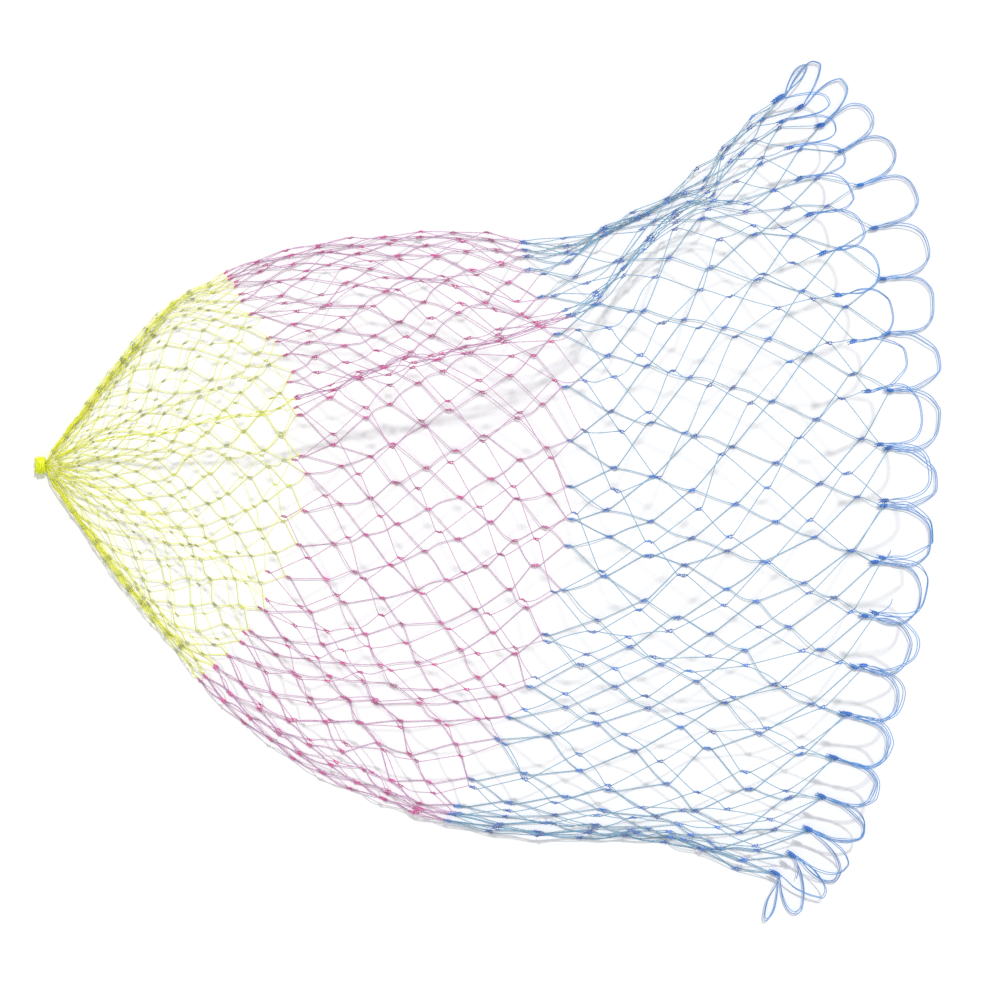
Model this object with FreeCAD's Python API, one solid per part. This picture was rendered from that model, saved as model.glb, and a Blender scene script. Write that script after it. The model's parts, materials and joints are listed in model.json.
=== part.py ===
"""Hand-knotted net bag of nylon monofilament, lying flat on a surface.

The bag is a fan: every course of meshes lies on an arc about the gathered tip, and the
netting changes colour twice on the way to the mouth. It lies folded in two layers. The
under layer is flat on the surface and the upper layer arches over it, so the bag is
hollow and open at its mouth. Each band of netting is modelled as the thin solid that its
meshes, knots and slack fill. The mouth's rim is a row of knots in doubled twine with a
long loop between each pair, through which a landing-net hoop is threaded.
Millimetres, +Z up, +X from the tip to the mouth, origin under the middle of the bag.
"""
import FreeCAD, Part
import math
import os

Vector = FreeCAD.Vector
UP = Vector(0, 0, 1)

# Netting
WALL = 2.5              # depth that one layer of netting fills, knots and slack included
LAYER_GAP = 0.5         # between the two layers at the side folds
BAND_GAP = 2.5          # between two colours of netting
MESHES_PER_LAYER = 20   # the rim has twice as many knots
CROWDING = 0.6          # how far the meshes crowd towards the side folds: 0 evenly, 1 fully

# Fan: distance from the tip, angle of the left-hand fold, angle of the right-hand fold
# and the height of the upper layer's crown over the under layer
FAN = [
    (0, 55.0, -57.0, 2.5),
    (60, 54.6, -56.0, 15),
    (106, 53.7, -53.7, 25),
    (148, 47.0, -53.0, 33),
    (213, 37.0, -49.0, 43),
    (268, 29.5, -43.5, 47),
    (316, 24.3, -38.8, 48),
    (362, 23.5, -34.0, 46),
    (400, 24.5, -30.5, 43),
    (463, 27.5, -29.5, 39),
]
FIRST_COURSE = 10.0     # where the gathered strands open out of the lashing
YELLOW_END = 148.0
PINK_END = 295.0
LEAN = 0.35             # the crown stands nearer the left-hand fold, fully so at the mouth

# Rim: the line that the loops hang on, by its distance from the tip at nine even steps
# from the left fold to the right
RIM_UNDER = [462, 478, 486, 478, 470, 464, 465, 468, 460]
RIM_UPPER = [462, 451, 444, 449, 460, 463, 463, 466, 461]
RIM_SETBACK = 6.6       # the netting's solids stop this far short of the rim's line
KNOT_LENGTH = 6.4
KNOT_THICKNESS = 2.8
KNOT_SIDES = 8
KNOT_PROFILE = [(-1.0, 0.5), (-0.55, 1.0), (0.55, 1.0), (1.0, 0.5)]   # along, by width
KNOT_SETBACK = 2.6      # from the rim's line back to a knot's middle
KNOT_HEIGHT = 1.6       # of the under layer's rim knots over the surface

# Rim loops of doubled twine
LOOP_TWINE = 1.4        # both strands together
LOOP_REACH = 25.0       # from the knots to the end of the loop
LOOP_FOOT_OUT = 2.2     # a loop's foot starts this far out of its knot's middle
LOOP_FOOT_SIDE = 0.95   # and this far to its own side
LOOP_NARROWING = 0.14   # how much narrower a loop is at its round end
LOOP_DROOP = 0.006      # fall of an upper loop, for each millimetre that its knots are raised
FOLD_LOOP_SPLAY_DEG = (58.0, -68.0)   # how far the loops at the folds turn outwards

# Tip
LASHING_LENGTH = 5.5
LASHING_WIDTH = 12.0
LASHING_HEIGHT = 7.0
LASHING_WALL = 1.4
TAIL_CLEARANCE = 0.1
TAIL_LENGTH = 10.0
TAIL_END = 6.5          # how far towards the mouth the gathered strands reach as one bunch

COURSE_STEPS = 6        # grid lines along a band's solid
ACROSS_STEPS = 14       # and across it
FLAT_WITHIN = 0.001     # a grid whose heights differ by less than this is flat


def smooth(xs, ys, x):
    """A smooth curve through the points (xs, ys), read at x."""
    last = len(xs) - 1
    i = max(k for k in range(last) if xs[k] <= max(x, xs[0]))

    def slope(k):
        a, b = max(k - 1, 0), min(k + 1, last)
        return (ys[b] - ys[a]) / (xs[b] - xs[a])

    span = xs[i + 1] - xs[i]
    s = (x - xs[i]) / span
    return (
        ys[i] * (1 + 2 * s) * (1 - s) ** 2
        + span * slope(i) * s * (1 - s) ** 2
        + ys[i + 1] * (3 - 2 * s) * s ** 2
        + span * slope(i + 1) * (s - 1) * s ** 2
    )


def fan(radius, column):
    return smooth([row[0] for row in FAN], [row[column] for row in FAN], radius)


def place(radius, t, z):
    """A point at a distance from the tip, t from 0 at the left fold to 1 at the right."""
    crowded = CROWDING * math.cos(math.pi * t) + (1 - CROWDING) * (1 - 2 * t)
    left, right = fan(radius, 1), fan(radius, 2)
    angle = math.radians((left + right) / 2 + (left - right) / 2 * crowded)
    return Vector(radius * math.cos(angle), radius * math.sin(angle), z)


def crown(radius, t):
    """Height of the upper layer's underside."""
    lean = LEAN * min(1.0, radius / PINK_END)
    rise = fan(radius, 3) * math.sin(math.pi * t) * (1 + lean * math.cos(math.pi * t))
    return WALL + LAYER_GAP + rise


def rim_radius(t, radii):
    steps = [k / (len(radii) - 1) for k in range(len(radii))]
    return smooth(steps, radii, t)


def netting_band(start, end, is_upper):
    """One colour of one layer, from start to end, each a distance from the tip by t."""
    under, over = [], []
    for i in range(ACROSS_STEPS + 1):
        t = i / ACROSS_STEPS
        first, last = start(t), end(t)
        low_row, high_row = [], []
        for j in range(COURSE_STEPS + 1):
            radius = first + (last - first) * j / COURSE_STEPS
            z = crown(radius, t) if is_upper else 0.0
            low_row.append(place(radius, t, z))
            high_row.append(place(radius, t, z + WALL))
        under.append(low_row)
        over.append(high_row)
    return closed_between(under, over)


def skin_face(skin, grid):
    """A grid's surface, or the plane inside its four edges where the grid is flat."""
    heights = [point.z for row in grid for point in row]
    if max(heights) - min(heights) > FLAT_WITHIN:
        return skin.toShape()
    u0, u1, v0, v1 = skin.bounds()
    edges = [
        skin.uIso(u0).toShape(),
        skin.vIso(v1).toShape(),
        skin.uIso(u1).toShape(),
        skin.vIso(v0).toShape(),
    ]
    return Part.Face(Part.Wire(Part.sortEdges(edges)[0]))


def closed_between(under, over):
    """The solid between two grids of points, with a true plane where a grid is flat."""
    skins = []
    for grid in (under, over):
        skin = Part.BSplineSurface()
        skin.interpolate(grid)
        skins.append(skin)
    low, high = skins
    faces = [skin_face(low, under), skin_face(high, over)]
    u0, u1, v0, v1 = low.bounds()
    for u in (u0, u1):
        faces.append(Part.makeRuledSurface(low.uIso(u).toShape(), high.uIso(u).toShape()))
    for v in (v0, v1):
        faces.append(Part.makeRuledSurface(low.vIso(v).toShape(), high.vIso(v).toShape()))
    shell = Part.makeShell(faces)
    shell.sewShape()
    solid = Part.Solid(shell)
    if solid.Volume < 0:
        solid.reverse()
    return solid


def bands():
    """The three colours of netting, each in two layers."""
    half_gap = BAND_GAP / 2
    edges = {
        "yellow_netting": (FIRST_COURSE, YELLOW_END - half_gap),
        "pink_netting": (YELLOW_END + half_gap, PINK_END - half_gap),
        "blue_netting": (PINK_END + half_gap, None),
    }
    made = {}
    for name, (start, end) in edges.items():
        for layer, radii in (("under", RIM_UNDER), ("upper", RIM_UPPER)):
            def last(t, end=end, radii=radii):
                return end if end else rim_radius(t, radii) - RIM_SETBACK
            made[f"{name}_{layer}"] = netting_band(lambda t, s=start: s, last, layer == "upper")
    return made


def rim_knots():
    """The knots' places on the rim's line: under layer from left to right, then back."""
    under, upper = [], []
    for k in range(MESHES_PER_LAYER):
        t = (k + 0.5) / MESHES_PER_LAYER
        radius = rim_radius(t, RIM_UNDER)
        under.append(place(radius, t, KNOT_HEIGHT))
        radius = rim_radius(t, RIM_UPPER)
        upper.append(place(radius, t, crown(radius, t) + WALL / 2))
    return under + upper[::-1]


def outward(knots, i):
    """Unit vectors of loop i: along its knots, and out of the mouth square to that."""
    last = len(knots) - 1
    here, there = knots[i], knots[(i + 1) % len(knots)]
    along = (there - here).normalize()
    middle = (here + there) * 0.5
    bearing = math.atan2(middle.y, middle.x)
    if i == last:
        bearing += math.radians(FOLD_LOOP_SPLAY_DEG[0])
    elif i == MESHES_PER_LAYER - 1:
        bearing += math.radians(FOLD_LOOP_SPLAY_DEG[1])
    out = Vector(math.cos(bearing), math.sin(bearing), 0)
    if MESHES_PER_LAYER <= i < last:
        out.z = -LOOP_DROOP * middle.z
    out = (out - along * out.dot(along)).normalize()
    return along, out


def rim_loop(knots, i):
    """A long loop between two rim knots: two legs that lean in, and a round end on them."""
    along, out = outward(knots, i)
    here, there = knots[i], knots[(i + 1) % len(knots)]
    foot_a = here + along * LOOP_FOOT_SIDE + out * LOOP_FOOT_OUT
    foot_b = there - along * LOOP_FOOT_SIDE + out * LOOP_FOOT_OUT
    half = (foot_b - foot_a).Length / 2
    radius = half * (1 - LOOP_NARROWING)
    centre_out = LOOP_REACH - LOOP_FOOT_OUT - radius
    lean = math.acos(radius / math.hypot(half, centre_out)) - math.atan2(centre_out, half)
    centre = (foot_a + foot_b) * 0.5 + out * centre_out
    to_side = along * (radius * math.cos(lean))
    bend_a = centre - to_side + out * (radius * math.sin(lean))
    bend_b = centre + to_side + out * (radius * math.sin(lean))
    top = centre + out * radius
    path = Part.Wire([
        Part.LineSegment(foot_a, bend_a).toShape(),
        Part.Arc(bend_a, top, bend_b).toShape(),
        Part.LineSegment(bend_b, foot_b).toShape(),
    ])
    section = Part.Wire(Part.makeCircle(LOOP_TWINE / 2, foot_a, bend_a - foot_a))
    return path.makePipeShell([section], True, True)


def polygon(corners):
    return Part.Face(Part.makePolygon(corners + corners[:1]))


def rim_knot(place_on_rim):
    """A rim knot: a faceted barrel that reaches back from the rim's line to the netting."""
    rings = []
    for along, width in KNOT_PROFILE:
        ring = []
        for side in range(KNOT_SIDES):
            turn = 2 * math.pi * (side + 0.5) / KNOT_SIDES
            radius = KNOT_THICKNESS / 2 * width
            ring.append(Vector(
                along * KNOT_LENGTH / 2, radius * math.cos(turn), radius * math.sin(turn)))
        rings.append(ring)
    faces = [polygon(rings[0]), polygon(rings[-1])]
    for ring, following in zip(rings, rings[1:]):
        for i in range(KNOT_SIDES):
            j = (i + 1) % KNOT_SIDES
            faces.append(polygon([ring[i], ring[j], following[j], following[i]]))
    shell = Part.makeShell(faces)
    shell.sewShape()
    knot = Part.Solid(shell)
    if knot.Volume < 0:
        knot.reverse()
    out = Vector(place_on_rim.x, place_on_rim.y, 0).normalize()
    turn = FreeCAD.Rotation(Vector(1, 0, 0), out)
    knot.Placement = FreeCAD.Placement(place_on_rim - out * KNOT_SETBACK, turn)
    return knot


def oval(width, height, length, start):
    """An oval bar along +X."""
    ellipse = Part.Ellipse(Vector(0, 0, 0), width / 2, height / 2)
    face = Part.Face(Part.Wire(ellipse.toShape()))
    bar = face.extrude(UP * length)
    turn = FreeCAD.Rotation(Vector(0, 1, 0), Vector(0, 0, 1), Vector(1, 0, 0), "ZXY")
    bar.Placement = FreeCAD.Placement(Vector(start, 0, LASHING_HEIGHT / 2), turn)
    return bar


def tip_lashing():
    """A band of twine wound round the gathered strands."""
    start = -LASHING_LENGTH / 2
    bore_width = LASHING_WIDTH - 2 * LASHING_WALL
    bore_height = LASHING_HEIGHT - 2 * LASHING_WALL
    band = oval(LASHING_WIDTH, LASHING_HEIGHT, LASHING_LENGTH, start)
    return band.cut(oval(bore_width, bore_height, LASHING_LENGTH, start))


def gathered_strands():
    """The first course's strands, bunched through the lashing."""
    shrink = 2 * (LASHING_WALL + TAIL_CLEARANCE)
    start = TAIL_END - TAIL_LENGTH
    return oval(LASHING_WIDTH - shrink, LASHING_HEIGHT - shrink, TAIL_LENGTH, start)


def build():
    """Every node by name, with the rim knots' places, centred over the surface."""
    knots = rim_knots()
    nodes = bands()
    nodes["gathered_strands"] = gathered_strands()
    nodes["tip_lashing"] = tip_lashing()
    solids = [rim_knot(knot) for knot in knots]
    nodes["rim_knots_under"] = Part.makeCompound(solids[:MESHES_PER_LAYER])
    nodes["rim_knots_upper"] = Part.makeCompound(solids[MESHES_PER_LAYER:])
    for i in range(len(knots)):
        nodes[f"rim_loop_{i + 1:02d}"] = rim_loop(knots, i)
    box = Part.makeCompound(list(nodes.values())).optimalBoundingBox(False, False)
    shift = Vector(-box.Center.x, -box.Center.y, -box.ZMin)
    for shape in nodes.values():
        shape.translate(shift)
    return nodes, [knot + shift for knot in knots], shift


def main():
    os.makedirs("parts", exist_ok=True)
    nodes, knots, shift = build()
    for name, shape in nodes.items():
        shape.exportStep(f"parts/{name}.step")
        print(name, "valid" if shape.isValid() else "NOT VALID", round(shape.Volume, 1))
    print("shift", shift)


if __name__ == "__main__":
    main()
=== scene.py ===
import bpy
import json
import math
import numpy as np
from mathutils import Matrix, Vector
from mathutils.bvhtree import BVHTree


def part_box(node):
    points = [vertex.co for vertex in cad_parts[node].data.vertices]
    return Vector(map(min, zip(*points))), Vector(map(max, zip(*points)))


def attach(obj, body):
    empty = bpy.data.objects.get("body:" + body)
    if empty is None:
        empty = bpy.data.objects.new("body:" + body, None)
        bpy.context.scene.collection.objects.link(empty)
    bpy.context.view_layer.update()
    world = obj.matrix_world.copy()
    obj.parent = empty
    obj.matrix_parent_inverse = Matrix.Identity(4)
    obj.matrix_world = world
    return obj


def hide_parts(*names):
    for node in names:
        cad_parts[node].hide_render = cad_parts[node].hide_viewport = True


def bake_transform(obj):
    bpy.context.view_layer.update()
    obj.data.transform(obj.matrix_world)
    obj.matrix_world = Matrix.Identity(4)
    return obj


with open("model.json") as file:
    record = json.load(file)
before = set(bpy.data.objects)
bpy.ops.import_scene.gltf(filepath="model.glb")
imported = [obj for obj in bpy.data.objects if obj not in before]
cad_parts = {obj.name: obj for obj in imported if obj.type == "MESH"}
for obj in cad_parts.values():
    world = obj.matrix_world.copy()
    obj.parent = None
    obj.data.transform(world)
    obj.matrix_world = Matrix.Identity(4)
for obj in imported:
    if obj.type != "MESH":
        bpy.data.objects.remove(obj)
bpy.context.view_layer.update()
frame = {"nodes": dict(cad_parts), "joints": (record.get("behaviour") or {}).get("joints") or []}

# A hand-knotted monofilament net bag, lying flat. It is one tube of netting, 40 columns
# of diamond meshes round, that closes in a lashing at the tip and ends at the mouth in
# 40 rim knots with a loop of doubled twine between each pair. The netting is a lattice of
# knots on the CAD layers, relaxed until hardly any bar between two knots is longer than
# its twine, and every bar and every knot is then swept in twine.
# Metres. Plan angles and distances are measured from the tip.
MM = 0.001
UP = np.array([0.0, 0.0, 1.0])

# --- Netting: columns, courses and twine -------------------------------------------------
COLUMNS = 40
LAYER_COLUMNS = COLUMNS // 2
YELLOW_COURSES, PINK_COURSES, BLUE_COURSES = 13, 9, 8
COURSES = YELLOW_COURSES + PINK_COURSES + BLUE_COURSES
TWINE_YELLOW, TWINE_PINK, TWINE_BLUE = 0.165 * MM, 0.22 * MM, 0.23 * MM    # radii
BAR_YELLOW, BAR_PINK, BAR_BLUE = 15.5 * MM, 25.0 * MM, 31.5 * MM           # twine in a bar
UPPER_DEPTH = 1.25 * MM                # from the upper layer's outer face to its twine
UNDER_DEPTH = 1.75 * MM                # and the under layer's, which rests on its knots
CROWDING = 0.85                        # how far the columns crowd towards the side folds
FOLD_SHAKE = 0.25                      # unevenness left at the side folds, of that elsewhere
BAR_STEPS, TWINE_SIDES = 8, 5
MOST_BOW = 1.1 * MM                    # sideways, of a slack bar
LOWEST_KNOT = 0.75 * MM                # heights over the surface: the middle of a knot,
LOWEST_KNOT_TWINE = 0.3 * MM           # the middle line of the twine in a knot
LOWEST_TWINE = 0.35 * MM               # and that of any other twine
KNOT_YELLOW, KNOT_PINK, KNOT_BLUE = 3.1 * MM, 3.9 * MM, 4.5 * MM
KNOT_IN_BUNCH = 0.4                    # size near the tip, against the rest of the yellow
FULL_KNOTS_FROM = 7                    # courses from the tip
KNOT_UNEVEN, KNOT_SPIN = 0.12, 0.22    # size, and turn in the netting's plane in radians

# Pleats and spread places: plan route as (distance mm, angle deg), how much columns move
# towards it (negative: away from it), reach in degrees, and lift in millimetres. They act
# in this order, each on where the ones before it have moved the columns.
FOLD_BUNCHES = [
    # strands that run together into the side folds: beside the tip, at the waist of the
    # left fold before the mouth, and along the right fold from the belly to the mouth
    ([(14, 54), (60, 54), (110, 53)], 0.70, 16.0, 0.0),
    ([(14, -56), (60, -55), (120, -53)], 0.62, 14.0, 0.0),
    ([(350, 23.4), (365, 23.2), (380, 23.6)], 0.74, 8.5, 0.0),
    ([(270, -43), (316, -38), (362, -33), (400, -29.7), (430, -29)], 0.50, 7.0, 0.0),
]
PLEATS = {
    "upper": FOLD_BUNCHES + [
        # the main ridge, from the tip through the pink band
        ([(25, 21), (70, 12.5), (125, 9), (163, 11.5), (198, 12.6), (240, 13), (275, 13.2)],
         0.97, 16.0, 5.0),
        # the ridge to its left, in the yellow band and then in the pink
        ([(30, 36), (77, 32), (115, 34), (150, 31), (170, 30)], 0.94, 9.0, 4.0),
        ([(185, 28.5), (201, 28), (222, 25.5), (240, 23)], 0.94, 7.0, 4.0),
        # the ridge that carries on through the blue band towards the left fold
        ([(290, 14), (304, 14.3), (344, 19.2), (362, 20), (390, 20.5)], 0.93, 8.0, 4.0),
        # gatherings that fade out of the tip
        ([(30, -22), (90, -27), (150, -29)], 0.75, 11.0, 2.0),
        ([(40, 3), (90, 0), (150, 1)], 0.50, 6.0, 1.0),
        # meshes spread wide in the middle of the mouth and of the belly
        ([(300, -2), (380, -2), (450, -2)], -0.45, 12.0, 0.0),
        ([(160, -16), (250, -13), (300, -10)], -0.30, 12.0, 0.0),
    ],
    "under": FOLD_BUNCHES + [
        ([(30, 8), (90, 5), (150, 2)], 0.60, 8.0, 0.0),
        ([(30, 30), (90, 24), (170, 24)], 0.60, 8.0, 0.0),
        ([(150, -38), (230, -34), (300, -30)], 0.40, 7.0, 0.0),
        ([(300, 8), (380, 6), (450, 6)], -0.35, 12.0, 0.0),
    ],
}
# How far the upper layer's courses lie towards the mouth of the under layer's, by distance
SLIP = [(10, 0), (60, 3), (110, -4), (170, 5), (240, -5), (300, 4), (370, -4), (430, 0)]
# and how many columns its knots lie nearer to the left fold than theirs
SIDE_SLIP = [(10, 0), (70, 0.35), (130, 0.55), (300, 0.6), (400, 0.45), (450, 0)]
PLEAT_FADE = 0.03              # a pleat begins and ends over this distance
PLEAT_LIFT_NARROWING = 2.2     # its lift is this much narrower than its pull
PLEAT_HOLD = 3.5               # how soon, going in from the side folds, pleats act fully

# Unevenness: how far knots stray by course, in millimetres, and the shares of it that are
# a slow wander over several meshes and the jitter of single knots
STRAY = [(0, 0.0), (4, 0.45), (YELLOW_COURSES, 1.3), (YELLOW_COURSES + PINK_COURSES, 1.9),
         (COURSES - 2, 2.6), (COURSES, 0.0)]
WANDER, JITTER = 1.6, 0.55
STRAY_SHAPE = np.array([1.0, 1.0, 0.5])
UNDER_STRAY = 0.35             # upwards only, for the under layer, which lies on the surface

# Relaxing: an overlong bar pulls its knots together, a bar shorter than a share of its
# twine pushes them apart a little, and every knot is drawn back to its place
RELAX_STEPS = 240
RELAX_PUSH, RELAX_BACK = 0.45, 0.06
SHORTEST_BAR, SHORT_BAR_PUSH = 0.55, 0.2

# Bars between knots
BAR_CURL = 0.05                # how far a bar leaves along the netting, not straight
SLACK_FROM = 0.83              # a bar shorter than this share of its twine bows,
BOW_SHARE = 0.36               # by this share of the bow that its slack would give
BOW_SKEW = 0.35                # and is fuller to one side

# --- Joints: the span of each hinge in x, and where the pink band is split between them ---
TIP_BEND = (-0.150, -0.072)        # x where each bend starts and ends
MOUTH_BEND = (-0.048, 0.050)
PINK_SPLIT = (TIP_BEND[1] + MOUTH_BEND[0]) / 2      # the pink band crosses both hinges

rng = np.random.default_rng(40)


def unit(v):
    return v / np.maximum(np.linalg.norm(v, axis=-1, keepdims=True), 1e-12)


def smoothstep(x):
    x = np.clip(x, 0.0, 1.0)
    return x * x * (3 - 2 * x)


# --- What the frame says -------------------------------------------------------------------
def node_points(name):
    mesh = frame["nodes"][name].data
    co = np.zeros(len(mesh.vertices) * 3)
    mesh.vertices.foreach_get("co", co)
    return co.reshape(-1, 3)


def layer_tree(layer):
    """The three bands of one layer, for casting rays at."""
    verts, faces = [], []
    for colour in ("yellow", "pink", "blue"):
        mesh = frame["nodes"][f"{colour}_netting_{layer}"].data
        base = len(verts)
        verts += [v.co.copy() for v in mesh.vertices]
        faces += [[base + i for i in p.vertices] for p in mesh.polygons]
    return BVHTree.FromPolygons(verts, faces)


LAYERS = {layer: layer_tree(layer) for layer in ("under", "upper")}
lashing_low, lashing_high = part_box("tip_lashing")
TIP = np.array((lashing_low + lashing_high) / 2)
joint_place = {j["name"]: np.array(j["pos_m"], float) for j in frame["joints"]}
RIM = np.array([joint_place[f"loop_{i + 1:02d}_swing"] for i in range(COLUMNS)])


def plan_reach(name):
    """Nearest and farthest distance of a node from the tip, in plan."""
    away = np.linalg.norm(node_points(name)[:, :2] - TIP[:2], axis=1)
    return away.min(), away.max()


def at(distance, angle):
    """Plan position at a distance and angle from the tip."""
    return np.array([
        TIP[0] + distance * math.cos(angle), TIP[1] + distance * math.sin(angle)])


def top_of(layer, x, y):
    hit = LAYERS[layer].ray_cast(Vector((x, y, 1.0)), Vector((0, 0, -1)))
    return hit[0].z if hit[0] is not None else None


BEYOND_FOLDS = 75              # degrees from the middle, where there is no netting any more
FOLD_HALVINGS = 16             # of the angle in which a fold is looked for


def fold_angle(distance, side):
    """Where the under layer ends at a distance from the tip; side is 1 left, -1 right."""
    inside, outside = 0.0, side * math.radians(BEYOND_FOLDS)
    for _ in range(FOLD_HALVINGS):
        middle = (inside + outside) / 2
        if top_of("under", *at(distance, middle)) is None:
            outside = middle
        else:
            inside = middle
    return inside


first_course, yellow_end = plan_reach("yellow_netting_under")
pink_end = plan_reach("pink_netting_under")[1]
blue_start = plan_reach("blue_netting_under")[0]
GAP = (blue_start - pink_end) / 2
yellow_end += GAP
pink_end += GAP
NETTING_END = 0.452            # the farthest that every part of the blue band reaches
RADII = np.concatenate([
    np.linspace(first_course + GAP, yellow_end - 2 * GAP, 9),
    np.linspace(yellow_end + 2 * GAP, pink_end - 2 * GAP, 9),
    np.linspace(pink_end + 2 * GAP, NETTING_END, 9),
])
LEFT = np.array([fold_angle(r, 1) for r in RADII])
RIGHT = np.array([fold_angle(r, -1) for r in RADII])
NEARBY = (0.0, 1.6, -1.6, -6.0, -9.0)      # where a layer is looked for, in half gaps


def height(layer, point):
    """Height of a layer's twine at a plan point, taken a little farther from the tip or
    nearer to it where the point is over a gap between two bands or past the edge."""
    away = point[:2] - TIP[:2]
    distance = max(np.linalg.norm(away), first_course)
    for gaps in NEARBY:
        near = TIP[:2] + away * (1 + gaps * GAP / distance)
        top = top_of(layer, *near)
        if top is not None:
            return top - (UPPER_DEPTH if layer == "upper" else UNDER_DEPTH)
    return UPPER_DEPTH


# --- Lattice of knots ----------------------------------------------------------------------
def row_offset(row):
    return 0.5 * ((COURSES - row) % 2)


def layer_of(q):
    """Layer and place across it, 0 at the left fold and 1 at the right, of column q."""
    if q <= LAYER_COLUMNS - 0.5:
        return "under", (q + 0.5) / LAYER_COLUMNS
    return "upper", (COLUMNS - 0.5 - q) / LAYER_COLUMNS


def pleated(layer, distance, angle):
    """The angle after the layer's pleats, and their lift."""
    lift = 0.0
    for route, pull, reach, rise in PLEATS[layer]:
        start, end = route[0][0] * MM, route[-1][0] * MM
        fade = smoothstep((distance - start) / PLEAT_FADE + 1)
        fade *= smoothstep((end - distance) / PLEAT_FADE + 1)
        centre = math.radians(np.interp(distance / MM, *zip(*route)))
        away = (angle - centre) / math.radians(reach)
        angle -= fade * pull * (angle - centre) * math.exp(-away ** 4)
        lift += fade * rise * MM * math.exp(-(PLEAT_LIFT_NARROWING * away) ** 2)
    return angle, lift


def row_distance(row, rim_distance):
    if row <= YELLOW_COURSES:
        return np.interp(row, [0, YELLOW_COURSES], [first_course, yellow_end])
    if row <= YELLOW_COURSES + PINK_COURSES:
        return yellow_end + (pink_end - yellow_end) * (row - YELLOW_COURSES) / PINK_COURSES
    share = (row - YELLOW_COURSES - PINK_COURSES) / BLUE_COURSES
    return pink_end + (rim_distance - pink_end) * share


def laid_out():
    """Every knot on its CAD layer: courses by columns by xyz."""
    grid = np.zeros((COURSES + 1, COLUMNS, 3))
    rim_distances = np.linalg.norm(RIM[:, :2] - TIP[:2], axis=1)
    ring = np.arange(COLUMNS + 1)
    for row in range(COURSES + 1):
        for k in range(COLUMNS):
            q = k + row_offset(row)
            layer, t = layer_of(q)
            rim_distance = np.interp(q, ring, np.append(rim_distances, rim_distances[0]))
            distance = row_distance(row, rim_distance)
            edge = math.sin(math.pi * t)
            if layer == "upper":
                aside = np.interp(distance / MM, *zip(*SIDE_SLIP)) / LAYER_COLUMNS
                t = max(t - aside * edge, 0.0)
                distance += np.interp(distance / MM, *zip(*SLIP)) * MM * edge
            left = np.interp(distance, RADII, LEFT)
            right = np.interp(distance, RADII, RIGHT)
            crowded = CROWDING * math.cos(math.pi * t) + (1 - CROWDING) * (1 - 2 * t)
            angle = (left + right) / 2 + (left - right) / 2 * crowded
            moved, lift = pleated(layer, distance, angle)
            angle += (moved - angle) * smoothstep(PLEAT_HOLD * edge)
            place = at(distance, angle)
            grid[row, k, :2] = place
            grid[row, k, 2] = height(layer, place) + lift * edge
    grid[COURSES] = RIM
    return grid


def rough(rows, passes):
    """Seeded noise over the lattice, smoothed over neighbours, of about unit size."""
    field = rng.standard_normal((rows, COLUMNS, 3))
    for _ in range(passes):
        field = (field + np.roll(field, 1, 1) + np.roll(field, -1, 1)) / 3
        padded = np.concatenate([field[:1], field, field[-1:]])
        field = (padded[:-2] + padded[1:-1] + padded[2:]) / 3
    return field / field.std()


def bar_ends():
    """Pairs of knots that a bar joins, as (course, column, column in the next course, side)."""
    bars = []
    for row in range(COURSES):
        for k in range(COLUMNS):
            if row_offset(row) == 0:
                bars += [(row, k, k, 1), (row, k, (k - 1) % COLUMNS, -1)]
            else:
                bars += [(row, k, (k + 1) % COLUMNS, 1), (row, k, k, -1)]
    return np.array(bars)


BARS = bar_ends()
BAR_LENGTH = np.where(
    BARS[:, 0] < YELLOW_COURSES, BAR_YELLOW,
    np.where(BARS[:, 0] < YELLOW_COURSES + PINK_COURSES, BAR_PINK, BAR_BLUE))
START = BARS[:, 0] * COLUMNS + BARS[:, 1]
END = (BARS[:, 0] + 1) * COLUMNS + BARS[:, 2]


def relaxed(grid):
    """The lattice, roughened and then moved until hardly any bar is overlong."""
    stray = np.interp(np.arange(COURSES + 1), *zip(*STRAY))[:, None, None] * MM
    wander = rough(COURSES + 1, 2) * stray * WANDER
    jitter = rough(COURSES + 1, 0) * stray * JITTER
    shake = (wander + jitter) * STRAY_SHAPE
    places = [
        [layer_of(k + row_offset(row)) for k in range(COLUMNS)] for row in range(COURSES + 1)]
    is_under = np.array([[layer == "under" for layer, _ in row] for row in places])
    edge = np.array([[math.sin(math.pi * t) for _, t in row] for row in places])
    shake *= (FOLD_SHAKE + (1 - FOLD_SHAKE) * smoothstep(2 * edge))[..., None]
    shake[is_under, 2] = np.abs(shake[is_under, 2]) * UNDER_STRAY
    target = (grid + shake).reshape(-1, 3)
    points = target.copy()
    held = np.zeros(len(points), bool)
    held[:COLUMNS] = True
    held[-COLUMNS:] = True
    weight = np.where(held, 0.0, 1.0)
    both = np.maximum(weight[START] + weight[END], 1e-9)
    for _ in range(RELAX_STEPS):
        gap = points[END] - points[START]
        length = np.linalg.norm(gap, axis=1)
        over = np.maximum(length - BAR_LENGTH, 0.0)
        short = np.minimum(length - SHORTEST_BAR * BAR_LENGTH, 0.0) * SHORT_BAR_PUSH
        push = gap / np.maximum(length, 1e-9)[:, None] * ((over + short) / both)[:, None]
        move = np.zeros_like(points)
        np.add.at(move, START, push * weight[START][:, None] * RELAX_PUSH)
        np.add.at(move, END, -push * weight[END][:, None] * RELAX_PUSH)
        points += move
        points += (target - points) * RELAX_BACK * weight[:, None]
        points[:, 2] = np.maximum(points[:, 2], LOWEST_KNOT)
    return points.reshape(COURSES + 1, COLUMNS, 3)


KNOTS = relaxed(laid_out())


# --- Directions at each knot -------------------------------------------------------------
COLUMN_SHARE = 0.6             # of the way to the next column, in a knot's sideways direction


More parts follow.
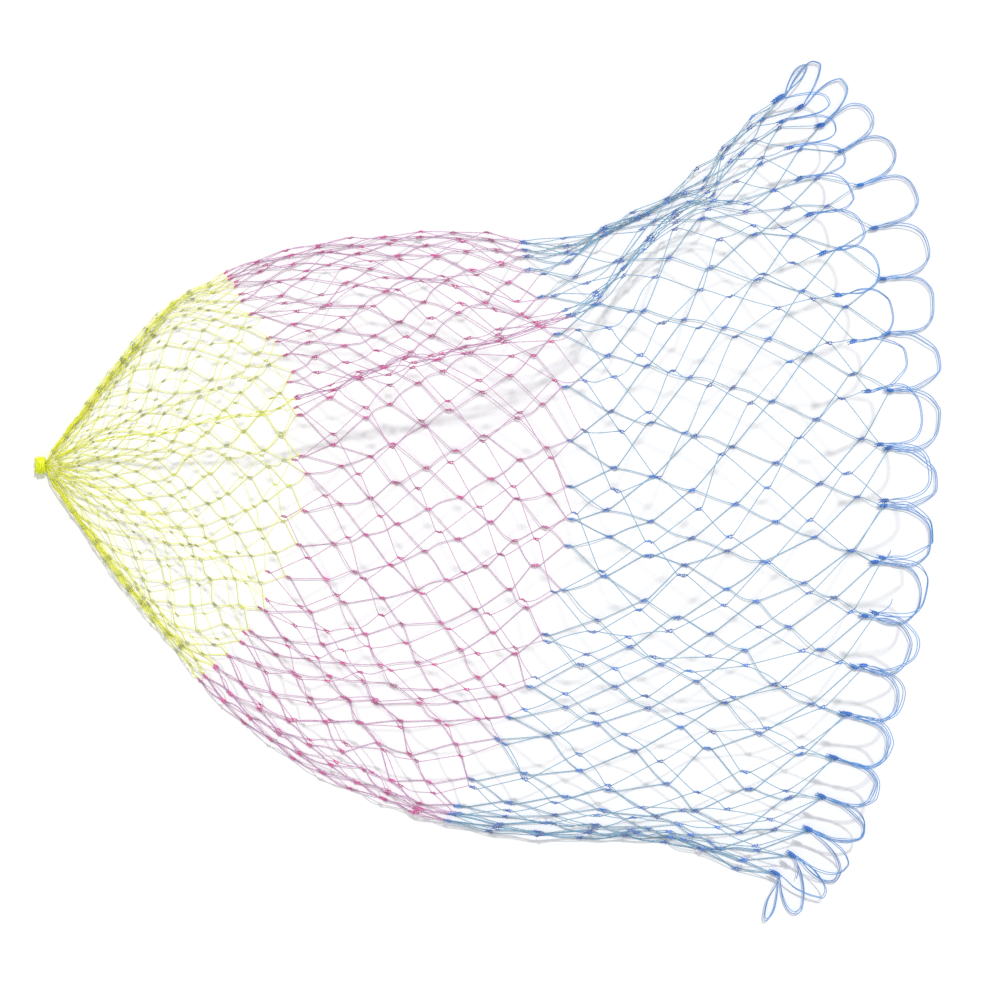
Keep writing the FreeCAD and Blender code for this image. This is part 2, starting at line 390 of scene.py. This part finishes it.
def knot_axes():
    """Unit vectors at each knot: towards the mouth, across to the next column, and out."""
    flat = KNOTS.reshape(-1, 3)
    mouthward = np.zeros_like(flat)
    across = np.zeros_like(flat)
    way = unit(flat[END] - flat[START])
    np.add.at(mouthward, START, way)
    np.add.at(mouthward, END, way)
    side = BARS[:, 3][:, None]
    np.add.at(across, START, way * side)
    np.add.at(across, END, -way * side)
    next_column = (np.roll(KNOTS, -1, 1) - np.roll(KNOTS, 1, 1)).reshape(-1, 3)
    across = unit(across) + COLUMN_SHARE * unit(next_column)
    mouthward = unit(mouthward)
    across = unit(across - mouthward * (across * mouthward).sum(1, keepdims=True))
    return mouthward, across, unit(np.cross(mouthward, across))


MOUTHWARD, ACROSS, OUT = knot_axes()


def knot_sizes():
    """Length of each knot: smaller where the columns crowd together near the tip."""
    rows = np.arange(COURSES + 1)
    size = np.where(
        rows <= YELLOW_COURSES, KNOT_YELLOW,
        np.where(rows <= YELLOW_COURSES + PINK_COURSES, KNOT_PINK, KNOT_BLUE))
    size = size * np.interp(rows, [0, FULL_KNOTS_FROM], [KNOT_IN_BUNCH, 1.0])
    uneven = rng.uniform(1 - KNOT_UNEVEN, 1 + KNOT_UNEVEN, (COURSES + 1) * COLUMNS)
    return np.repeat(size, COLUMNS) * uneven


KNOT_LENGTH = knot_sizes()
LEG_OUT, LEG_SIDE = 0.42, 0.13     # a leg leaves the knot here, in lengths of the knot
KNOT_TWINE = 1.15                  # a knot's twine against a bar's, as it is pulled tight


# --- Twine -------------------------------------------------------------------------------
def tubes(paths, radius, sides=TWINE_SIDES):
    """Vertices and faces of round tubes with closed ends along paths (tubes, points, xyz)."""
    count, steps = paths.shape[:2]
    ahead = unit(np.gradient(paths, axis=1))
    start = np.where(np.abs(ahead[:, 0, 2:]) > 0.9, [[1.0, 0.0, 0.0]], UP)
    normal = start
    frames = []
    for i in range(steps):
        normal = unit(normal - ahead[:, i] * (normal * ahead[:, i]).sum(1, keepdims=True))
        frames.append(np.stack([normal, np.cross(ahead[:, i], normal)], 1))
    frames = np.stack(frames, 1)
    turn = np.arange(sides) * 2 * math.pi / sides
    circle = np.stack([np.cos(turn), np.sin(turn)], 1)
    ring = np.einsum("sk,ijkx->ijsx", circle, frames)
    radius = np.broadcast_to(np.asarray(radius, float), (count,))
    verts = paths[:, :, None, :] + ring * radius[:, None, None, None]
    a = np.arange(sides)
    b = (a + 1) % sides
    quads = np.concatenate([
        np.stack([i * sides + a, i * sides + b, (i + 1) * sides + b, (i + 1) * sides + a], 1)
        for i in range(steps - 1)])
    caps = [list(a[::-1]), list((steps - 1) * sides + a)]
    base = (np.arange(count) * steps * sides)[:, None, None]
    faces = (quads[None] + base).reshape(-1, 4).tolist()
    ends = [[c + int(off) for c in cap] for off in base.ravel() for cap in caps]
    return verts.reshape(-1, 3), faces + ends


def curve_through(points, steps):
    """Points evenly spaced in parameter along a smooth curve through the given ones."""
    points = np.asarray(points, float)
    p = np.concatenate([[2 * points[0] - points[1]], points, [2 * points[-1] - points[-2]]])
    spans = len(points) - 1
    s = np.linspace(0, spans, steps)
    i = np.minimum(s.astype(int), spans - 1)
    u = (s - i)[:, None]
    a, b, c, d = p[i], p[i + 1], p[i + 2], p[i + 3]
    return 0.5 * (
        2 * b + (c - a) * u + (2 * a - 5 * b + 4 * c - d) * u ** 2
        + (3 * b - a - 3 * c + d) * u ** 3)


def bar_paths():
    """The middle line of every bar, from the leg of one knot to the leg of the next."""
    flat = KNOTS.reshape(-1, 3)
    side = BARS[:, 3][:, None]

    def leg(i, forward, sideways):
        size = KNOT_LENGTH[i][:, None]
        return flat[i] + size * (
            MOUTHWARD[i] * LEG_OUT * forward + ACROSS[i] * LEG_SIDE * sideways)

    a, b = leg(START, 1, side), leg(END, -1, -side)
    chord = b - a
    length = np.linalg.norm(chord, axis=1, keepdims=True)
    straight = chord / length
    way_a = unit((1 - BAR_CURL) * straight + BAR_CURL * MOUTHWARD[START])
    way_b = unit((1 - BAR_CURL) * straight + BAR_CURL * MOUTHWARD[END])
    s = np.linspace(0, 1, BAR_STEPS + 1)[None, :, None]
    path = (
        a[:, None] * (1 + 2 * s) * (1 - s) ** 2 + b[:, None] * s ** 2 * (3 - 2 * s)
        + (way_a * length)[:, None] * s * (1 - s) ** 2
        - (way_b * length)[:, None] * s ** 2 * (1 - s))
    knots = np.linalg.norm(flat[END] - flat[START], axis=1)
    slack = np.maximum(SLACK_FROM * BAR_LENGTH - knots, 0.0)
    full_bow = np.sqrt(3 / 8 * knots * slack)       # of a shallow arc with that slack
    bow = np.minimum(BOW_SHARE * full_bow, MOST_BOW)
    lean = rough(COURSES, 1)[BARS[:, 0], BARS[:, 1], 0] + 0.5 * rng.standard_normal(len(BARS))
    bow *= np.clip(lean, -1.2, 1.2)
    square = unit(np.cross(straight, OUT[START] + OUT[END]))
    skew = BOW_SKEW * lean[:, None, None].clip(-1, 1)
    swell = np.sin(math.pi * s) * (1 + np.cos(math.pi * s) * skew)
    path = path + (square * bow[:, None])[:, None] * swell
    path[..., 2] = np.maximum(path[..., 2], LOWEST_TWINE)
    return path


# One sheet-bend knot of unit length, as (towards the mouth, across, out): the bight of the
# next course's twine, and the twine that comes up through it, round behind both of its legs
# and back under itself
BIGHT = [(0.44, 0.13, 0.02), (0.28, 0.12, 0.05), (0.02, 0.13, 0.03), (-0.24, 0.10, 0.0),
         (-0.34, 0.0, -0.01), (-0.24, -0.10, 0.0), (0.02, -0.13, 0.03), (0.28, -0.12, 0.05),
         (0.44, -0.13, 0.02)]
HITCH = [(-0.44, 0.13, 0.0), (-0.32, 0.11, 0.03), (-0.12, 0.06, 0.09), (0.06, 0.11, 0.14),
         (0.20, 0.19, 0.09), (0.26, 0.20, -0.03), (0.27, 0.09, -0.12), (0.24, -0.09, -0.12),
         (0.20, -0.20, -0.03), (0.12, -0.18, 0.11), (-0.02, -0.02, 0.19), (-0.16, -0.04, 0.12),
         (-0.32, -0.11, 0.04), (-0.44, -0.13, 0.0)]
BIGHT_STEPS, HITCH_STEPS = 14, 22


def knot_meshes(which, radius):
    """Both twines of each of the given knots."""
    flat = KNOTS.reshape(-1, 3)[which]
    axes = np.stack([MOUTHWARD[which], ACROSS[which], OUT[which]], 1)
    spin = rng.uniform(-KNOT_SPIN, KNOT_SPIN, len(which))
    turned = axes.copy()
    cos, sin = np.cos(spin)[:, None], np.sin(spin)[:, None]
    turned[:, 0] = axes[:, 0] * cos + axes[:, 1] * sin
    turned[:, 1] = axes[:, 1] * cos - axes[:, 0] * sin
    upside = rng.choice([-1.0, 1.0], len(which))
    verts, faces = [], []
    for points, steps in ((BIGHT, BIGHT_STEPS), (HITCH, HITCH_STEPS)):
        line = curve_through(points, steps)
        shape = np.repeat(line[None], len(which), 0)
        shape[:, :, 2] *= upside[:, None]
        shape *= KNOT_LENGTH[which][:, None, None]
        placed = flat[:, None] + np.einsum("ijk,ikx->ijx", shape, turned)
        placed[..., 2] = np.maximum(placed[..., 2], LOWEST_KNOT_TWINE)
        v, f = tubes(placed, radius)
        base = sum(len(x) for x in verts)
        faces += [[base + i for i in face] for face in f]
        verts.append(v)
    return np.concatenate(verts), faces


def make_piece(name, parts):
    """A smooth mesh object from (vertices, faces, material) parts."""
    verts, faces, slots, materials = [], [], [], []
    base = 0
    for points, quads, material in parts:
        if material not in materials:
            materials.append(material)
        verts.append(points)
        faces += [[base + i for i in face] for face in quads]
        slots += [materials.index(material)] * len(quads)
        base += len(points)
    mesh = bpy.data.meshes.new(name)
    mesh.from_pydata(np.concatenate(verts).tolist(), [], faces)
    for material in materials:
        mesh.materials.append(material)
    mesh.polygons.foreach_set("material_index", slots)
    mesh.polygons.foreach_set("use_smooth", [True] * len(faces))
    mesh.update()
    piece = bpy.data.objects.new(name, mesh)
    bpy.context.scene.collection.objects.link(piece)
    return piece


# --- Materials -----------------------------------------------------------------------------
GLOSS_PATCHES, DRAW_LINES = 900.0, 5200.0      # noise scales, per metre
ROUGHNESS = (0.18, 0.42)
DRAW_LINE_STRENGTH, DRAW_LINE_DEPTH = 0.25, 0.05 * MM
NYLON_IOR = 1.53


def monofilament(name, pale, deep, transmission, streak=260.0):
    """Drawn nylon: colour from pale to deep that varies along the twine, by noise of scale
    streak, with fine draw lines and a soft gloss. For twine the pale and deep colours are
    its dyed tones; for knots the deep colour is painted shade, a darker grey standing in for
    the shadows that knots cast on the floor."""
    material = bpy.data.materials.new(name)
    material.use_nodes = True
    nodes, links = material.node_tree.nodes, material.node_tree.links
    shader = nodes["Principled BSDF"]
    place = nodes.new("ShaderNodeTexCoord")

    def noise(scale, detail):
        made = nodes.new("ShaderNodeTexNoise")
        made.inputs["Scale"].default_value = scale
        made.inputs["Detail"].default_value = detail
        links.new(place.outputs["Object"], made.inputs["Vector"])
        return made.outputs["Fac"]

    def spread(value, low, high):
        made = nodes.new("ShaderNodeMapRange")
        made.inputs["From Min"].default_value = 0.3
        made.inputs["From Max"].default_value = 0.7
        made.inputs["To Min"].default_value = low
        made.inputs["To Max"].default_value = high
        links.new(value, made.inputs["Value"])
        return made.outputs["Result"]

    # Pale to deep: the twine's own dyed streaks; in the knot materials the deep end is painted
    # shade.
    dye_and_shade = nodes.new("ShaderNodeMix")
    dye_and_shade.data_type = "RGBA"
    dye_and_shade.inputs["A"].default_value = (*pale, 1)
    dye_and_shade.inputs["B"].default_value = (*deep, 1)
    links.new(spread(noise(streak, 3.0), 0.0, 1.0), dye_and_shade.inputs["Factor"])
    links.new(dye_and_shade.outputs["Result"], shader.inputs["Base Color"])
    links.new(spread(noise(GLOSS_PATCHES, 2.0), *ROUGHNESS), shader.inputs["Roughness"])
    bump = nodes.new("ShaderNodeBump")
    bump.inputs["Strength"].default_value = DRAW_LINE_STRENGTH
    bump.inputs["Distance"].default_value = DRAW_LINE_DEPTH
    links.new(noise(DRAW_LINES, 2.0), bump.inputs["Height"])
    links.new(bump.outputs["Normal"], shader.inputs["Normal"])
    shader.inputs["Transmission Weight"].default_value = transmission
    shader.inputs["IOR"].default_value = NYLON_IOR
    return material


YELLOW = monofilament("yellow_twine", (1.0, 1.0, 0.12), (0.95, 1.0, 0.03), 0.15)
# In the three knot materials the deep colour, darker and greyer than the twine, is painted
# shade: it stands in for the shadows that knots cast on the floor, and the noise scatters it at
# random, a few knots at a time.
YELLOW_KNOT = monofilament("yellow_knot", (0.94, 1.0, 0.12), (0.38, 0.39, 0.22), 0.1, 70.0)
PINK = monofilament("pink_twine", (0.84, 0.58, 0.80), (0.74, 0.36, 0.64), 0.5)
PINK_KNOT = monofilament("pink_knot", (0.90, 0.15, 0.48), (0.50, 0.20, 0.36), 0.08, 70.0)
BLUE = monofilament("blue_twine", (0.36, 0.58, 0.70), (0.20, 0.52, 0.80), 0.5)
BLUE_KNOT = monofilament("blue_knot", (0.13, 0.36, 0.90), (0.18, 0.24, 0.48), 0.08, 70.0)
RIM_TWINE = monofilament("rim_twine", (0.14, 0.44, 0.95), (0.16, 0.34, 0.66), 0.25, 40.0)
RIM_KNOT = monofilament("rim_knot", (0.05, 0.30, 0.95), (0.07, 0.20, 0.62), 0.1, 110.0)
LASHING = monofilament("lashing_twine", (0.92, 1.0, 0.03), (0.82, 0.92, 0.01), 0.05)


# --- Netting pieces ------------------------------------------------------------------------
BAR_PATHS = bar_paths()
FLAT_KNOTS = KNOTS.reshape(-1, 3)
KNOT_ROW = np.repeat(np.arange(COURSES + 1), COLUMNS)


def netting(name, first, last, radius, twine, knot, low=-math.inf, high=math.inf):
    """Courses first to last, with the knots that their twine ties, between two x."""
    middle = BAR_PATHS[:, BAR_STEPS // 2, 0]
    bars = (BARS[:, 0] >= first) & (BARS[:, 0] < last) & (middle >= low) & (middle < high)
    x = FLAT_KNOTS[:, 0]
    tied = np.flatnonzero(
        (KNOT_ROW >= first) & (KNOT_ROW < last) & (x >= low) & (x < high))
    return make_piece(name, [
        (*tubes(BAR_PATHS[bars], radius), twine),
        (*knot_meshes(tied, radius * KNOT_TWINE), knot)])


def bend(piece):
    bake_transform(piece)


pink_first = YELLOW_COURSES
blue_first = YELLOW_COURSES + PINK_COURSES

yellow_netting = netting("yellow_netting", 0, pink_first, TWINE_YELLOW, YELLOW, YELLOW_KNOT)
bend(yellow_netting)
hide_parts("yellow_netting_under", "yellow_netting_upper")

pink_tipward = netting(
    "pink_netting_tipward", pink_first, blue_first, TWINE_PINK, PINK, PINK_KNOT,
    high=PINK_SPLIT)
bend(pink_tipward)
pink_mouthward = netting(
    "pink_netting_mouthward", pink_first, blue_first, TWINE_PINK, PINK, PINK_KNOT,
    low=PINK_SPLIT)
bend(pink_mouthward)
for piece in (pink_tipward, pink_mouthward):
    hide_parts("pink_netting_under", "pink_netting_upper")

blue_netting = netting(
    "blue_netting", blue_first, COURSES, TWINE_BLUE, BLUE, BLUE_KNOT)
bend(blue_netting)
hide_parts("blue_netting_under", "blue_netting_upper")


# --- Rim knots -----------------------------------------------------------------------------
RIM_TWINE_RADIUS = 0.23 * MM   # of each strand of the doubled twine
WRAP_TURNS, WRAP_RADIUS, WRAP_LENGTH = 3.6, 0.95 * MM, 4.0 * MM
WRAP_WAIST, WRAP_SWELL = 0.82, 0.3     # radius at a wrap's ends, and what its middle adds
WRAP_HEIGHT = 1.25 * MM                # the most that a wrap rises over its strands
WRAP_STEPS, STRAND_STEPS = 44, 12
SECOND_STRAND = 0.55                   # turns that the second strand is behind the first
TIED_STRANDS = [(0.45, 0.25), (-0.45, 0.25), (0.45, -0.3), (-0.45, -0.3)]   # side, height
KNOT_BACK = 2.6 * MM           # from the rim's line back to the knot's middle


def rim_out(i):
    """Away from the tip in plan, at rim knot i."""
    away = RIM[i] - TIP
    away[2] = 0
    return unit(away)


def rim_knot_parts():
    """Each rim knot: turns of doubled twine wound round the four strands that it ties."""
    wraps, cores = [], []
    for i in range(COLUMNS):
        out = rim_out(i)
        side = unit(np.cross(UP, out))
        middle = RIM[i] - out * KNOT_BACK
        lean = rng.uniform(-0.25, 0.25)
        axis = unit(out + side * lean)
        side = unit(np.cross(UP, axis))
        size = rng.uniform(0.9, 1.12)
        for strand in (0.0, SECOND_STRAND):
            s = np.linspace(0, 1, WRAP_STEPS)
            turn = 2 * math.pi * (WRAP_TURNS * s + strand) + i
            swell = WRAP_RADIUS * (WRAP_WAIST + WRAP_SWELL * np.sin(math.pi * s)) * size
            along = (s - 0.5) * WRAP_LENGTH * size + strand * 0.5 * MM
            wraps.append(
                middle + axis * along[:, None]
                + side * (swell * np.cos(turn))[:, None]
                + UP * (np.minimum(swell, WRAP_HEIGHT) * np.sin(turn))[:, None])
        for across, above in TIED_STRANDS:
            cores.append(curve_through([
                middle - axis * 3.3 * MM + side * across * 1.5 * MM + UP * above * 0.5 * MM,
                middle + side * across * MM + UP * above * MM,
                RIM[i] + out * 0.9 * MM + side * across * 1.3 * MM + UP * above * MM],
                STRAND_STEPS))
    wraps, cores = np.array(wraps), np.array(cores)
    for paths in (wraps, cores):
        paths[..., 2] = np.maximum(paths[..., 2], LOWEST_TWINE)
    return [
        (*tubes(wraps, RIM_TWINE_RADIUS), RIM_KNOT),
        (*tubes(cores, RIM_TWINE_RADIUS), RIM_TWINE)]


# Ends of twine left at three of the rim knots: the knot's number, and how far the end goes
# sideways and up as shares of the route, which is in millimetres out, sideways and up
WHISKERS = [(11, 0.5, 0.05), (18, -0.7, 0.15), (27, 0.6, 0.1)]
WHISKER_ROUTE = [(0, 0, 0), (4, 3, 8), (7, 9, 12), (8, 15, 6)]


def whiskers():
    ends = []
    for i, sideways, rise in WHISKERS:
        out = rim_out(i)
        side = unit(np.cross(UP, out))
        start = RIM[i] - out * KNOT_BACK
        ends.append(curve_through([
            start + out * a * MM + side * sideways * b * MM + UP * rise * c * MM
            for a, b, c in WHISKER_ROUTE], 14))
    return (*tubes(np.array(ends), RIM_TWINE_RADIUS), RIM_TWINE)


rim_knots = make_piece("rim_knots", [*rim_knot_parts(), whiskers()])
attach(rim_knots, "mouth")
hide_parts("rim_knots_under", "rim_knots_upper")


# --- Rim loops -----------------------------------------------------------------------------
LOOP_STEPS = 40
# The loops at the right and left folds: degrees that they turn from their solids, and width
FOLD_LOOPS = {LAYER_COLUMNS - 1: (-10.0, 6.0 * MM), COLUMNS - 1: (-46.0, 7.0 * MM)}
LOOP_SKEW = {LAYER_COLUMNS - 2: 32.0, LAYER_COLUMNS - 3: 10.0}   # degrees, towards loop i + 1
# A loop at a fold, from its lower knot (0) to its upper one (1): shares of its reach and of
# half its width, and rise in units of 4 mm
FOLD_LOOP_SHAPE = [
    (0, 0.0, 0.0, 0.0), (0, 0.35, 0.7, 0.0), (0, 0.75, 1.0, 0.1), (0, 1.0, 0.25, 0.2),
    (0, 0.96, -0.45, 0.3), (0, 0.6, -0.75, 0.5), (1, 0.25, -0.35, 0.1), (1, 0.0, 0.0, 0.0)]
LOOP_FOOT_INSET = 0.45 * MM


def fold_loop_strand(i, width_share, reach_share, lift):
    """One strand of a loop at a side fold, where its two knots lie one over the other."""
    here, there = RIM[i], RIM[(i + 1) % COLUMNS]
    solid = node_points(f"rim_loop_{i + 1:02d}")
    out = solid.mean(0) - (here + there) / 2
    out = unit(out * np.array([1, 1, 0]))
    side = np.cross(UP, out)
    turn, width = FOLD_LOOPS[i]
    width *= width_share
    cos, sin = math.cos(math.radians(turn)), math.sin(math.radians(turn))
    out, side = out * cos + side * sin, side * cos - out * sin
    reach = ((solid - here) @ out).max() * reach_share
    feet = (here, there) if here[2] < there[2] else (there, here)
    path = curve_through([
        feet[which] + out * reach * v + side * width / 2 * u + UP * (rise * 4 * MM + lift * v)
        for which, v, u, rise in FOLD_LOOP_SHAPE], LOOP_STEPS)
    path[:, 2] = np.maximum(path[:, 2], LOWEST_TWINE)
    return path


def loop_strand(i, bulge, lean, reach_share, point, lift):
    """One strand of loop i. Its legs bulge, its end is round (0) or drawn to a point, and
    it leans and is skewed along the rim."""
    here, there = RIM[i], RIM[(i + 1) % COLUMNS]
    along = there - here
    width = np.linalg.norm(along)
    along = along / width
    solid = node_points(f"rim_loop_{i + 1:02d}")
    from_here = solid - here
    outwards = from_here - np.outer(from_here @ along, along)
    out = unit(outwards.mean(0))
    reach = (outwards @ out).max() * reach_share
    normal = unit(np.cross(along, out))
    skew = math.radians(LOOP_SKEW.get(i, 0.0))
    out = out * math.cos(skew) + along * math.sin(skew)
    inset = LOOP_FOOT_INSET / width
    shape = [
        (inset, 0.0), (inset - 0.5 * bulge, 0.16), (-bulge, 0.42),
        (0.06 - bulge + point, 0.74), (0.24 + point * 0.8, 0.945),
        (0.5 + lean, 1.0),
        (0.76 - point * 0.8, 0.945), (0.94 + bulge - point, 0.74),
        (1 + bulge, 0.42), (1 - inset + 0.5 * bulge, 0.16), (1 - inset, 0.0)]
    points = [
        here + along * width * (u + lean * v * (1 - abs(2 * u - 1)) * 0.6) + out * reach * v
        + normal * lift * math.sin(math.pi * v * 0.5)
        for u, v in shape]
    path = curve_through(points, LOOP_STEPS)
    path[:, 2] = np.maximum(path[:, 2], LOWEST_TWINE)
    return path


# No two loops have the same shape, and the two strands of a loop don't quite match
for i in range(COLUMNS):
    bulge = rng.uniform(-0.01, 0.07)
    lean = rng.uniform(-0.12, 0.12)
    point = 0.08 if rng.random() < 0.2 else rng.uniform(-0.02, 0.03)
    reach = rng.uniform(0.96, 1.03)
    if i in FOLD_LOOPS:
        strands = [
            fold_loop_strand(i, 1.0, reach, 0.0),
            fold_loop_strand(i, 0.86, reach * 0.95, 0.6 * MM)]
    else:
        strands = [
            loop_strand(i, bulge, lean, reach, point, 0.0),
            loop_strand(
                i, bulge - rng.uniform(0.01, 0.06), lean + rng.uniform(-0.04, 0.04),
                reach - rng.uniform(0.01, 0.06), point, 0.45 * MM)]
    strands = np.array(strands)
    loop = make_piece(
        f"loop_twine_{i + 1:02d}", [(*tubes(strands, RIM_TWINE_RADIUS, 6), RIM_TWINE)])
    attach(loop, f"loop_{i + 1:02d}")
    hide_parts(f"rim_loop_{i + 1:02d}")


# --- Tip -----------------------------------------------------------------------------------
LASHING_HALF = 0.86 * np.array((lashing_high - lashing_low) / 2)
BORE_SHARE = 0.68              # of the lashing's half width that the bunch fills
TUFT = 1.2 * MM
LASHING_TWINE = 0.38 * MM      # radius
WINDINGS = ((8.5, 0.86, 1), (6.5, 0.95, -1))    # turns, radius as a share, and direction
# The lashing's two ends, in millimetres from its top
LASHING_ENDS = [
    [(0, 0, 0), (-0.8, 1.6, 0.5), (-1.6, 3.0, 0.2), (-2.4, 4.0, -1.2)],
    [(0.5, 0, 0), (0.8, -1.5, 0.5), (0.2, -3.0, 0.2), (-1.0, -4.2, -1.2)]]


def bunch_paths():
    """The first course's strands, from its knots through the lashing to a short tuft."""
    paths = []
    for k in range(COLUMNS):
        layer, t = layer_of(k + row_offset(0))
        start = FLAT_KNOTS[k] - MOUTHWARD[k] * KNOT_LENGTH[k] * LEG_OUT
        sideways = math.cos(math.pi * t)
        y = LASHING_HALF[1] * BORE_SHARE * sideways * rng.uniform(0.6, 1.0)
        z = LASHING_HALF[2] * 0.5 * math.sin(math.pi * t) * rng.uniform(0.2, 1.0)
        z = z if layer == "upper" else -z
        spot = TIP + np.array([0, y, z])
        length = TUFT * rng.uniform(0.35, 1.0)
        flare = np.array([0, y * 0.35 + rng.normal() * 0.6 * MM, z * 0.4])
        paths.append(curve_through([
            start,
            spot + np.array([LASHING_HALF[0] * 1.5, y * 0.12, z * 0.1]),
            spot + np.array([LASHING_HALF[0] * 0.5, 0, 0]),
            spot - np.array([LASHING_HALF[0], 0, 0]),
            spot - np.array([LASHING_HALF[0] + length, 0, 0]) + flare], 16))
    paths = np.array(paths)
    paths[..., 2] = np.maximum(paths[..., 2], LOWEST_KNOT_TWINE)
    return paths


def lashing_paths():
    """Two layers of turns wound round the bunch."""
    paths = []
    for layer, (turns, grow, way) in enumerate(WINDINGS):
        s = np.linspace(0, 1, 240)
        turn = 2 * math.pi * turns * s * way + layer
        along = (s - 0.5) * 2 * LASHING_HALF[0] * (0.92 - 0.2 * layer)
        along = along + 0.25 * MM * np.sin(turn * 0.5 + layer)
        wobble = 1 + 0.03 * np.sin(turn * 1.7)
        paths.append(np.stack([
            TIP[0] + along,
            TIP[1] + (LASHING_HALF[1] - 0.4 * MM) * grow * wobble * np.cos(turn),
            TIP[2] + (LASHING_HALF[2] - 0.4 * MM) * grow * wobble * np.sin(turn)], 1))
    paths = np.array(paths)
    paths[..., 2] = np.maximum(paths[..., 2], LASHING_TWINE + 0.02 * MM)
    return paths


def lashing_ends():
    top = TIP + np.array([0, 0, LASHING_HALF[2] - 0.3 * MM])
    return np.array([curve_through(top + np.array(route) * MM, 14) for route in LASHING_ENDS])


gathered = make_piece("tip_bunch", [(*tubes(bunch_paths(), TWINE_YELLOW), YELLOW)])
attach(gathered, "tip")
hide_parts("gathered_strands")

lashing = make_piece("tip_lashing_turns", [
    (*tubes(lashing_paths(), LASHING_TWINE, 6), LASHING),
    (*tubes(lashing_ends(), LASHING_TWINE, 6), LASHING)])
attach(lashing, "tip")
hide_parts("tip_lashing")


# --- Floor, light and camera ----------------------------------------------------------------
FLOOR_SIZE = 60
SUN_STRENGTH, SUN_ANGLE = 1.7, math.radians(3.2)
SUN_FROM = Vector((0.35, 0.75, 1.25))
STUDIO_STRENGTH = 0.69


def floor():
    bpy.ops.mesh.primitive_plane_add(size=FLOOR_SIZE, location=(0, 0, 0))
    ground = bpy.context.object
    ground.name = "floor"
    material = bpy.data.materials.new("floor_white")
    material.use_nodes = True
    shader = material.node_tree.nodes["Principled BSDF"]
    shader.inputs["Base Color"].default_value = (0.93, 0.93, 0.94, 1)
    shader.inputs["Roughness"].default_value = 0.9
    shader.inputs["Specular IOR Level"].default_value = 0.1
    ground.data.materials.append(material)


def lights():
    sun = bpy.data.lights.new("key", "SUN")
    sun.energy = SUN_STRENGTH
    sun.angle = SUN_ANGLE
    key = bpy.data.objects.new("key", sun)
    bpy.context.scene.collection.objects.link(key)
    key.rotation_euler = SUN_FROM.to_track_quat("Z", "Y").to_euler()
    world = bpy.data.worlds.new("studio")
    world.use_nodes = True
    backdrop = world.node_tree.nodes["Background"]
    backdrop.inputs["Color"].default_value = (1, 1, 1, 1)
    backdrop.inputs["Strength"].default_value = STUDIO_STRENGTH
    bpy.context.scene.world = world


CAMERA_ELEVATION = math.radians(84)
CAMERA_LENS, CAMERA_SENSOR = 70.0, 36.0
FRAME_WIDTH = 0.548
PICTURE_CENTRE = Vector((0.0063, -0.0115, 0.010))


def camera():
    data = bpy.data.cameras.new("camera")
    data.lens, data.sensor_width = CAMERA_LENS, CAMERA_SENSOR
    cam = bpy.data.objects.new("camera", data)
    bpy.context.scene.collection.objects.link(cam)
    back = Vector((0, -math.cos(CAMERA_ELEVATION), math.sin(CAMERA_ELEVATION)))
    cam.location = PICTURE_CENTRE + back * (FRAME_WIDTH * CAMERA_LENS / CAMERA_SENSOR)
    cam.rotation_euler = back.to_track_quat("Z", "Y").to_euler()
    bpy.context.scene.camera = cam


floor()
lights()
camera()
bpy.context.scene.view_settings.view_transform = "Standard"
